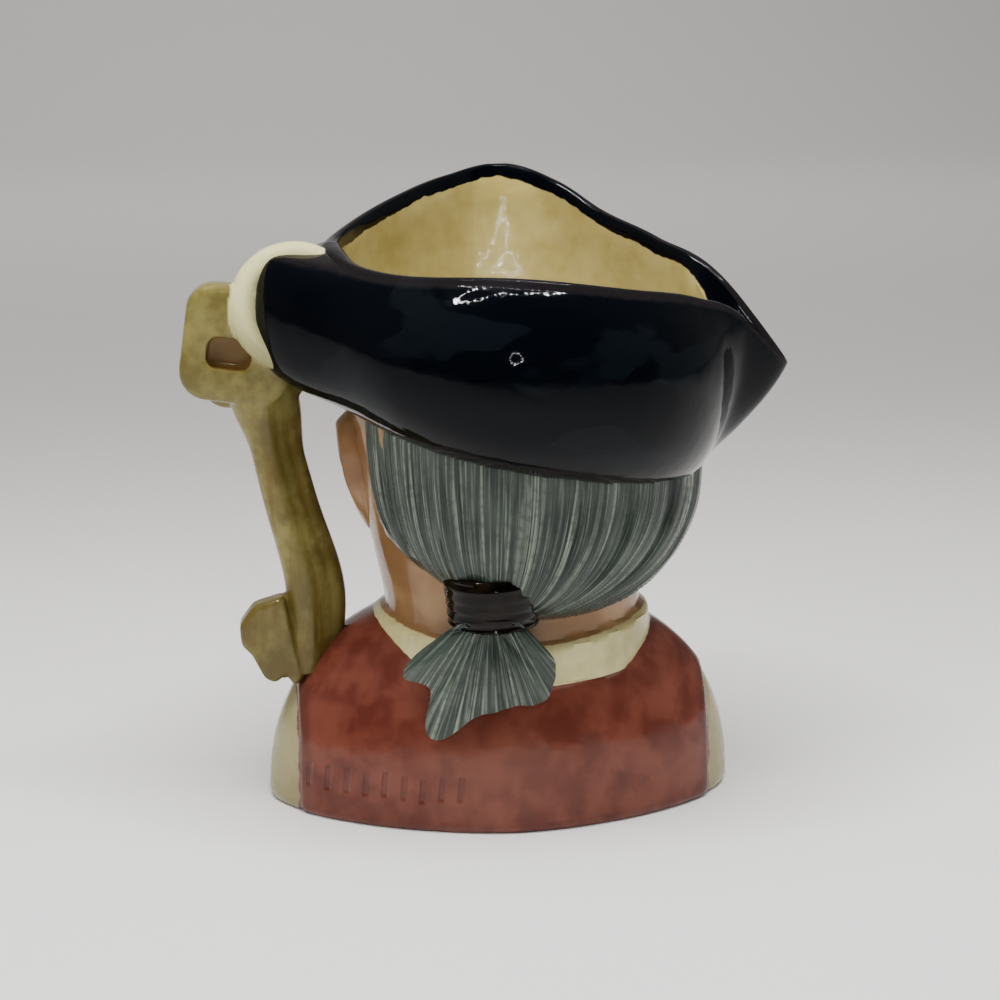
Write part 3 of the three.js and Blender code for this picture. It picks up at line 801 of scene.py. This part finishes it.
def mark_zones(jug):
    """Margins, in millimetres, by which a painted thing lies over what is round it, and the comb's ways."""
    x, y, z = vertex_places(jug).T
    degrees = np.degrees(np.arctan2(y, x)) % 360
    below = np.minimum(z, hat_edge(degrees))
    part = layers(degrees, below)
    clothes = np.maximum(part["coat"], part["cravat"])
    across, front = face_across(degrees)
    fallen = np.degrees(np.arctan2(turn(RIBBON_AT, degrees) * 0.72, np.maximum(QUEUE_TOP + 9 - z, 2)))
    marks = dict(
        on_hoop=ease(HOOP["tube"] + 0.7, HOOP["tube"] + 0.2, from_hoop(x, y, z)),
        below_rim=brim(degrees, 1)[1] - z,
        above_edge=z - hat_edge(degrees),
        fallen=fallen,
        hollow=in_hollow(x, y, z),
        sleeve_margin=np.abs(x) - JERKIN_EDGE,
        skin_margin=np.maximum(part["skin"], part["collar"]) - clothes,
        collar_margin=np.minimum(collar_rim(degrees) - below, part["collar"] - part["coat"]),
        cravat_margin=part["cravat"] - np.maximum(part["coat"], np.maximum(part["collar"], part["skin"])),
        hair_margin=part["hair"] - np.maximum(np.maximum(part["collar"], part["skin"]), clothes),
        strand=lock(degrees, below),
        face_across=np.where(front, across, 200),
    )
    for name, values in marks.items():
        mark = jug.data.attributes.new(name, "FLOAT", "POINT")
        mark.data.foreach_set("value", np.clip(values, -200, 200).astype(np.float32))


def place_in_row_frame(jug):
    """Onto the frame's origin, in metres, inside the solid's own box."""
    low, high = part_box("jug")
    x, y, z = np.clip((vertex_places(jug) - np.array(MIDDLE_OF_JUG)) * MM, low, high).T
    place_vertices(jug, x, y, z)


# -------- glazes


class Wire:
    """What comes out of a node: Python's own signs work on it, and add the nodes that they need."""

    def __init__(self, nodes, socket):
        self.nodes, self.socket = nodes, socket

    def maths(self, operation, *others):
        return self.nodes.node("Math", dict(operation=operation), [self, *others])

    def __add__(self, other):
        return self.maths("ADD", other)

    def __sub__(self, other):
        return self.maths("SUBTRACT", other)

    def __rsub__(self, other):
        return self.nodes.node("Math", dict(operation="SUBTRACT"), [other, self])

    def __mul__(self, other):
        return self.maths("MULTIPLY", other)

    def __truediv__(self, other):
        return self.maths("DIVIDE", other)

    __radd__, __rmul__ = __add__, __mul__

    def size(self):
        return self.maths("ABSOLUTE")

    def between(self, low, high):
        """0 up to low, 1 from high on, with a soft step between."""
        settings = dict(interpolation_type="SMOOTHSTEP")
        return self.nodes.node("MapRange", settings, [self, low, high, 0, 1])


class Nodes:
    """The nodes of a material or of the world."""

    def __init__(self, owner):
        owner.use_nodes = True
        self.tree = owner.node_tree
        self.tree.nodes.clear()

    def node(self, kind, settings, inputs, output=0):
        """A node of that kind: its settings, then the values or wires of its sockets. Gives its output."""
        node = self.tree.nodes.new("ShaderNode" + kind)
        for name, value in settings.items():
            setattr(node, name, value)
        pairs = inputs.items() if isinstance(inputs, dict) else enumerate(inputs)
        for name, value in pairs:
            if isinstance(value, Wire):
                self.tree.links.new(value.socket, node.inputs[name])
            elif value is not None:
                node.inputs[name].default_value = value
        return Wire(self, node.outputs[output]) if len(node.outputs) else node


class Glaze(Nodes):
    """A material that varies from place to place, by millimetres from the frame's origin."""

    def __init__(self, name):
        self.material = bpy.data.materials.new(name)
        super().__init__(self.material)
        metres = self.node("TexCoord", {}, [], "Object")
        to_mm = {"Vector": metres, "Scale": 1 / MM}
        self.mm = self.node("VectorMath", dict(operation="SCALE"), to_mm)
        self.x, self.y, self.z = (self.node("SeparateXYZ", {}, [self.mm], axis) for axis in "XYZ")

    def mark(self, name):
        return self.node("Attribute", dict(attribute_name=name), [], "Fac")

    def noise(self, size, detail=2, roughness=0.5, distortion=0, stretch=(1, 1, 1), at=None):
        """Cloudy noise whose patches are about that many millimetres across, round 0.5."""
        vector = at or self.mm
        if stretch != (1, 1, 1):
            vector = self.node("VectorMath", dict(operation="MULTIPLY"), [vector, stretch])
        inputs = {"Vector": vector, "Scale": 1 / size, "Detail": detail}
        inputs |= {"Roughness": roughness, "Distortion": distortion}
        return self.node("TexNoise", {}, inputs, "Fac")

    def mix(self, share, a, b):
        """Colour a where the share is 0, colour b where it is 1."""
        settings = dict(data_type="RGBA", clamp_factor=True)
        return self.node("Mix", settings, {0: share, 6: a, 7: b}, 2)

    def spot(self, x, z, wide, tall, across):
        """1 in an oval spot on the face, 0 outside it."""
        dx, dz = (across - x) / wide, (self.z - z) / tall
        return 1 - (dx * dx + dz * dz).between(0.75, 1.1)

    def finish(self, colour, roughness, relief=None, depth=0.12, shine=0.25):
        """The surface: depth is how many millimetres a relief of 1 stands proud."""
        inputs = {"Base Color": colour, "Roughness": roughness, "IOR": 1.5, "Specular IOR Level": shine}
        if relief is not None:
            height = {"Strength": 1, "Distance": MM * depth, "Height": relief}
            inputs["Normal"] = self.node("Bump", {}, height)
        shader = self.node("BsdfPrincipled", {}, inputs)
        self.node("OutputMaterial", {}, {"Surface": shader})
        return self.material


def paint(red, green, blue):
    """A colour as it is seen on a screen, from 0 to 255, for a shader."""
    shares = [value / 255 for value in (red, green, blue)]
    linear = [c / 12.92 if c <= 0.04045 else ((c + 0.055) / 1.055) ** 2.4 for c in shares]
    return (*linear, 1)


# The paints: dark and light sides that clouds run between, and the tints laid over them.
# The hat's bluish black is a painted reflection, laid in patches over its black glaze.
BLACK, REFLECTION_BLUE_BLACK = paint(3, 5, 9), paint(15, 20, 24)
HAIR_DARK, HAIR_LIGHT, HAIR_STRANDS = paint(30, 38, 34), paint(56, 65, 58), paint(142, 152, 138)
CREAM_DARK, CREAM_LIGHT, SLEEVE_GREY = paint(168, 158, 106), paint(206, 197, 144), paint(116, 108, 78)
INSIDE_DARK, INSIDE_LIGHT, INSIDE_STREAKS = paint(164, 146, 82), paint(190, 174, 110), paint(172, 150, 94)
COAT_DARK, COAT_RED, COAT_PALE = paint(86, 40, 31), paint(108, 58, 45), paint(124, 76, 60)
COAT_DABS, COAT_EDGE, COAT_PRESSED = paint(72, 34, 26), paint(78, 46, 38), paint(66, 32, 28)
SKIN_DARK, SKIN_LIGHT, SKIN_EAR = paint(120, 88, 56), paint(148, 116, 80), paint(124, 88, 62)
ROSY, LIPS, EYE_WHITE = paint(176, 104, 82), paint(150, 78, 66), paint(196, 190, 168)
IRIS, PUPIL, LID_LINE, BROW_HAIR = paint(70, 48, 32), paint(12, 10, 9), paint(58, 40, 30), paint(66, 58, 48)
HAT_EDGE_BROWN, RIM_BROWN = paint(48, 44, 38), paint(50, 44, 44)
# The olive for the keys' grooves is painted shade.
NEAR_KEY_DARK, NEAR_KEY_LIGHT, KEY_GROOVE_SHADE = paint(96, 86, 42), paint(130, 121, 68), paint(98, 78, 34)
# The far key's two paints are darker ones that stand for painted shade.
SHADED_FAR_KEY_DARK, SHADED_FAR_KEY_LIGHT, KEY_FOOT = paint(70, 50, 18), paint(104, 84, 38), paint(78, 62, 26)
# The hoop's cream is partly its own colour and partly a painted highlight.
HOOP_CREAM_AND_HIGHLIGHT, HOLLOW_BROWN = paint(222, 218, 160), paint(112, 86, 46)
RIBBON_DARK, RIBBON_LIGHT = paint(8, 5, 3), paint(22, 16, 10)
# The card's far and near paints are painted shade and painted light on one pale card.
CARD_SHADED_FAR, CARD_LIT_NEAR = paint(208, 205, 202), paint(244, 242, 240)


def orange_peel(glaze):
    """The faint unevenness of fired glaze."""
    return glaze.noise(9, 1) * 1.6 + glaze.noise(2.6, 1) * 0.35


def combed(glaze, strand):
    """Light strands brushed along the hair: 1 on a strand. The strand given counts across the comb's way."""
    along = glaze.z * 0.018
    fine = glaze.node("CombineXYZ", {}, [strand * 0.95, along, 0])
    hairs = glaze.node("CombineXYZ", {}, [strand * 2.6, along * 3, 3])
    wide = glaze.node("CombineXYZ", {}, [strand * 0.3, along, 7])
    thick = glaze.noise(1, 2, 0.55, 0.2, at=fine).between(0.5, 0.64)
    thin = glaze.noise(1, 1, 0.5, 0.2, at=hairs).between(0.48, 0.7)
    broad = glaze.noise(1, 1, at=wide).between(0.36, 0.64)
    worn = glaze.noise(2.2, 2).between(0.3, 0.55)
    return (thick * 0.75 + thin * 0.35) * (broad * 0.6 + 0.4) * (worn * 0.45 + 0.55)


def hair_colour(glaze, strand):
    shade = glaze.noise(18, 2)
    base = glaze.mix(shade.between(0.3, 0.7), HAIR_DARK, HAIR_LIGHT)
    return glaze.mix(combed(glaze, strand) * 0.8, base, HAIR_STRANDS)


def cream_colour(glaze, dark=CREAM_DARK, light=CREAM_LIGHT):
    patches = glaze.noise(26, 3) * 0.7 + glaze.noise(5, 2) * 0.3
    return glaze.mix(patches.between(0.32, 0.68), dark, light)


def coat_colour(glaze):
    patches = glaze.noise(9, 2, 0.5, 0.2)
    dabs = glaze.noise(5, 2, 0.5, 0.2)
    red = glaze.mix(patches.between(0.34, 0.68), COAT_DARK, COAT_RED)
    red = glaze.mix(dabs.between(0.5, 0.75) * 0.3, red, COAT_DABS)
    return glaze.mix(glaze.noise(30, 1).between(0.45, 0.75) * 0.3, red, COAT_PALE)


def skin_colour(glaze):
    patches = glaze.noise(17, 2)
    return glaze.mix(patches.between(0.35, 0.65), SKIN_DARK, SKIN_LIGHT)


def face_colour(glaze, skin):
    """Eyes, brows, lips and a little colour in the cheeks, painted on the modelled face."""
    across = glaze.mark("face_across")
    aside = across.size()
    wobble = glaze.noise(3, 1) * 0.5 - 0.25
    rosy = glaze.spot(23, NOSE + 1, 13, 11, aside)
    colour = glaze.mix(rosy * 0.35, skin, ROSY)
    lips = glaze.spot(0, MOUTH - 0.6, 11, 4.4, across)
    colour = glaze.mix(lips * 0.8, colour, LIPS)
    white = glaze.spot(EYE_APART, EYES - 0.6, 7, 2.9, aside)
    colour = glaze.mix(white, colour, EYE_WHITE)
    iris = glaze.spot(EYE_APART, EYES + 0.1, 2.9, 3, aside).maths("MINIMUM", white)
    colour = glaze.mix(iris, colour, IRIS)
    pupil = glaze.spot(EYE_APART, EYES + 0.3, 1.3, 1.4, aside)
    colour = glaze.mix(pupil, colour, PUPIL)
    arch = (aside - EYE_APART) / 7.6
    lid = (glaze.z - (EYES + 0.1) - (1 - arch * arch) * 3.3 + wobble).size()
    lid_line = (1 - lid.between(0.2, 0.7)) * (1 - arch.size().between(0.85, 1.05))
    colour = glaze.mix(lid_line, colour, LID_LINE)
    lift = (aside - 13) * (aside - 13) * 0.016
    brow = (1 - (glaze.z - (BROW + 2.4) + lift + wobble).size().between(0.9, 2)) * aside.between(4, 6)
    return glaze.mix(brow * (1 - aside.between(21, 24)) * 0.85, colour, BROW_HAIR)


STROKES_APART, STROKES_ALONG, STROKES_UP = 5.2, (8, 54), (8.5, 15)


def strokes(glaze):
    """A row of shallow upright strokes pressed into the back of the coat."""
    across = (glaze.x + glaze.z * 0.1) / STROKES_APART
    number = across.maths("FLOOR")
    length = glaze.node("TexWhiteNoise", dict(noise_dimensions="1D"), {"W": number}, "Value")
    stroke = 1 - (across - number - 0.5).size().between(0.08, 0.22)
    first, last = STROKES_ALONG
    low, high = STROKES_UP
    row = (glaze.x - first).between(0, 0.1) * (1 - (glaze.x - last).between(0, 0.1))
    below = 1 - (glaze.z - high - length * 1.6).between(-0.6, 0.8)
    tall = (glaze.z - low - length * 1.2).between(-0.6, 0.8) * below
    return stroke * row * tall * (glaze.y - 10).between(0, 1)


def figure_glaze():
    glaze = Glaze("painted_figure")
    wobble = (glaze.noise(6, 2) - 0.5) * 1.6
    fine = (glaze.noise(2, 1) - 0.5) * 0.5
    edge = wobble + fine
    sleeve = (glaze.mark("sleeve_margin") + edge).between(-0.2, 0.3)
    collar = (glaze.mark("collar_margin") + fine).between(-0.1, 0.25)
    cravat = (glaze.mark("cravat_margin") + fine).between(-0.1, 0.25)
    skin = (glaze.mark("skin_margin") + fine).between(-0.1, 0.3)
    hair = (glaze.mark("hair_margin") + fine).between(-0.2, 0.3)
    near_edge = 1 - (glaze.mark("sleeve_margin") + 1.5).size().between(0.5, 3)
    coat = glaze.mix(near_edge * 0.45, coat_colour(glaze), COAT_EDGE)
    pressed = strokes(glaze)
    coat = glaze.mix(pressed * 0.35, coat, COAT_PRESSED)
    cream = cream_colour(glaze)
    colour = glaze.mix(sleeve, coat, glaze.mix(0.7, cream, SLEEVE_GREY))
    colour = glaze.mix(skin, colour, face_colour(glaze, skin_colour(glaze)))
    colour = glaze.mix(collar.maths("MAXIMUM", cravat), colour, cream)
    strand = glaze.mark("strand") * 0.9
    colour = glaze.mix(hair, colour, hair_colour(glaze, strand))
    relief = orange_peel(glaze) + combed(glaze, strand) * hair - pressed * 3
    return glaze.finish(colour, 0.12, relief, depth=0.14)


def hat_glaze():
    """Black glaze, a little brown where it runs thin along the hat's lower edge, a little brown along the
    rim, and paler bluish patches that are a painted reflection.
    """
    glaze = Glaze("black_glaze")
    # Paler bluish patches, stretched sideways: a painted reflection on the black glaze.
    thin = glaze.noise(24, 3, 0.5, 0.5, (0.6, 1, 1.5)).between(0.53, 0.6)
    colour = glaze.mix(thin * 0.5, BLACK, REFLECTION_BLUE_BLACK)
    wobble = glaze.noise(9, 2) * 3
    edge = 1 - (glaze.mark("above_edge") + wobble).between(2, 7)
    colour = glaze.mix(edge * 0.3, colour, HAT_EDGE_BROWN)
    rim = 1 - (glaze.mark("below_rim") + glaze.noise(5, 2) * 1.6).between(1.2, 2.6)
    colour = glaze.mix(rim * 0.3, colour, RIM_BROWN)
    return glaze.finish(colour, 0.05, orange_peel(glaze), depth=0.1, shine=0.1)


def inside_glaze():
    glaze = Glaze("cream_glaze")
    streaks = glaze.noise(7, 2, 0.5, 0, (1, 1, 0.15))
    cream = cream_colour(glaze, INSIDE_DARK, INSIDE_LIGHT)
    colour = glaze.mix(streaks.between(0.5, 0.75) * 0.25, cream, INSIDE_STREAKS)
    wobble = glaze.noise(7, 2) * 2.2 + glaze.noise(2, 1) * 0.6
    lip = (glaze.mark("below_rim") + wobble).between(4, 4.4)
    colour = glaze.mix(lip, BLACK, colour)
    return glaze.finish(colour, 0.08, orange_peel(glaze))


def key_glaze():
    """Ochre over cream, olive streaks down the shanks as painted shade of their grooves, the far key darker
    as painted shade, and brown in the hollows.
    """
    glaze = Glaze("ochre_glaze")
    patches = (glaze.noise(11, 3) * 0.7 + glaze.noise(3, 2) * 0.3).between(0.35, 0.65)
    streaks = glaze.noise(4, 3, 0.5, 0.4, (1, 1, 0.12))
    # Olive streaks down the shanks: painted shade standing for the shadow in the grooves.
    grooves = streaks.between(0.46, 0.66) * (1 - glaze.z.between(95, 125))
    near = glaze.mix(patches, NEAR_KEY_DARK, NEAR_KEY_LIGHT)
    near = glaze.mix(grooves * 0.75, near, KEY_GROOVE_SHADE)
    # The far key is painted darker: painted shade.
    far = glaze.mix(patches, SHADED_FAR_KEY_DARK, SHADED_FAR_KEY_LIGHT)
    colour = glaze.mix((glaze.y - 1).between(-1.5, 1.5), far, near)
    low = 1 - glaze.z.between(40, 78)
    colour = glaze.mix(low * 0.5, colour, KEY_FOOT)
    # The hoop is cream, more strongly towards its top: its own cream, with a painted highlight on the upper
    # side.
    upper = glaze.z.between(128, 150) * 0.6 + 0.25
    colour = glaze.mix(glaze.mark("on_hoop") * upper, colour, HOOP_CREAM_AND_HIGHLIGHT)
    colour = glaze.mix(glaze.mark("hollow"), colour, HOLLOW_BROWN)
    return glaze.finish(colour, 0.14, orange_peel(glaze))


def tied_hair_glaze():
    glaze = Glaze("tied_hair")
    strand = glaze.mark("fallen") * 0.5
    relief = orange_peel(glaze) + combed(glaze, strand)
    return glaze.finish(hair_colour(glaze, strand), 0.12, relief, depth=0.14)


def ribbon_glaze():
    glaze = Glaze("brown_ribbon")
    colour = glaze.mix(glaze.noise(8, 2).between(0.4, 0.65), RIBBON_DARK, RIBBON_LIGHT)
    return glaze.finish(colour, 0.08, orange_peel(glaze), shine=0.15)


def ear_glaze():
    glaze = Glaze("painted_skin")
    colour = glaze.mix(glaze.noise(6, 2).between(0.4, 0.7) * 0.5, skin_colour(glaze), SKIN_EAR)
    return glaze.finish(colour, 0.12, orange_peel(glaze))


GLAZES = (figure_glaze, hat_glaze, inside_glaze, key_glaze, tied_hair_glaze, ribbon_glaze, ear_glaze)


def paint_jug(jug):
    for slot, glaze in zip(SLOTS, GLAZES):
        jug.data.materials[slot] = glaze()


# -------- floor, lights and camera

SHEET, SHEET_UP, SHEET_BEND = 8, 5, 1.8
LAMP = 0.006
CAMERA_AT = (0.07684, 0.65912, 0.2401)
CAMERA_BACK, CAMERA_RIGHT = (0.11875, 0.96711, 0.22495), (-0.99255, 0.12187, 0)
FILM, LENS = 36, 84.67


def floor():
    """A pale table whose far edge curves up into the backdrop, painted paler towards the camera as painted
    light.
    """
    select_only()
    bpy.ops.mesh.primitive_plane_add(size=SHEET)
    sheet = bpy.context.object
    sheet.name = "floor"
    pick_edges(sheet, lambda a, b: a.y < 0 and b.y < 0)
    bpy.ops.mesh.extrude_region_move(TRANSFORM_OT_translate={"value": (0, 0, SHEET_UP)})
    bpy.ops.object.mode_set(mode="OBJECT")
    finish_with(sheet, "BEVEL", width=SHEET_BEND, segments=16, limit_method="ANGLE")
    bpy.ops.object.shade_smooth()
    card = Glaze("pale_card")
    # Painted light: the card is paler towards the camera and darker behind the jug.
    near = (card.y + 120 + card.noise(90, 1) * 60).between(-420, 160)
    colour = card.mix(near, CARD_SHADED_FAR, CARD_LIT_NEAR)
    sheet.data.materials.append(card.finish(colour, 0.6))


def soft_light(name, at, size, power, look_at=(0, 0, 0.09), seen_in_glaze=False):
    lamp = bpy.data.lights.new(name, "AREA")
    lamp.energy = power
    lamp.shape = "DISK" if seen_in_glaze else "SQUARE"
    lamp.size = size
    thing = bpy.data.objects.new(name, lamp)
    bpy.context.collection.objects.link(thing)
    thing.location = at
    direction = Vector(look_at) - Vector(at)
    thing.rotation_euler = direction.to_track_quat("-Z", "Y").to_euler()
    thing.visible_camera = False
    thing.visible_glossy = seen_in_glaze


def lamp_ring(name, centre, reach, count, power, upright=False):
    """Small lamps in an oval, lying flat or standing upright, that show in the glaze as a dotted ring."""
    for number in range(count):
        turned = radians(number * 360 / count)
        across, along = reach[0] * np.cos(turned), reach[1] * np.sin(turned)
        place = Vector(centre) + Vector((across, 0, along) if upright else (across, along, 0))
        soft_light(f"{name}_{number}", place, LAMP, power, seen_in_glaze=True)


def tent():
    """The tent's walls: bright on the face's side, dark on the open one. The camera sees them pale."""
    world = bpy.data.worlds.new("tent")
    walls = Nodes(world)
    way = walls.node("TexCoord", {}, [], "Generated")
    open_side = walls.node("SeparateXYZ", {}, [way], "Y").between(0.1, 0.6)
    seen = walls.node("LightPath", {}, [], "Is Camera Ray")
    strength = (0.2 - open_side * 0.19).maths("MAXIMUM", seen)
    sky = walls.node("Background", {}, {"Color": (1, 0.985, 0.96, 1), "Strength": strength})
    walls.node("OutputWorld", {}, {"Surface": sky})
    bpy.context.scene.world = world


def lights():
    """Soft light from above and from the sides, and two rings of small lamps."""
    soft_light("above", (0.1, 0.3, 1.6), 1.3, 27)
    soft_light("left", (1.3, 0.9, 0.8), 0.9, 11)
    soft_light("right", (-1.4, 0.7, 0.8), 0.9, 8)
    soft_light("backdrop", (0, -1.6, 1.9), 2, 40, (0, -3.6, 0.9))
    lamp_ring("long_ring", (0.02, 0.14, 0.7), (0.26, 0.05), 44, 0.09)
    lamp_ring("small_ring", (0.03, 0.6, 0.33), (0.035, 0.05), 14, 0.02, upright=True)


def camera():
    view = bpy.data.cameras.new("camera")
    view.sensor_width = FILM
    view.lens = LENS
    view.clip_end = 100
    thing = bpy.data.objects.new("camera", view)
    bpy.context.collection.objects.link(thing)
    back = Vector(CAMERA_BACK).normalized()
    right = Vector(CAMERA_RIGHT).normalized()
    turned = Matrix((right, back.cross(right), back)).transposed()
    thing.matrix_world = Matrix.Translation(CAMERA_AT) @ turned.to_4x4()
    bpy.context.scene.camera = thing


# -------- the scene

camera()
floor()
tent()
lights()
jug = whole_jug()
mark_zones(jug)
place_in_row_frame(jug)
select_only(jug)
bpy.ops.object.shade_smooth_by_angle(angle=radians(50))
paint_jug(jug)
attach(jug, "root")
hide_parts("jug")
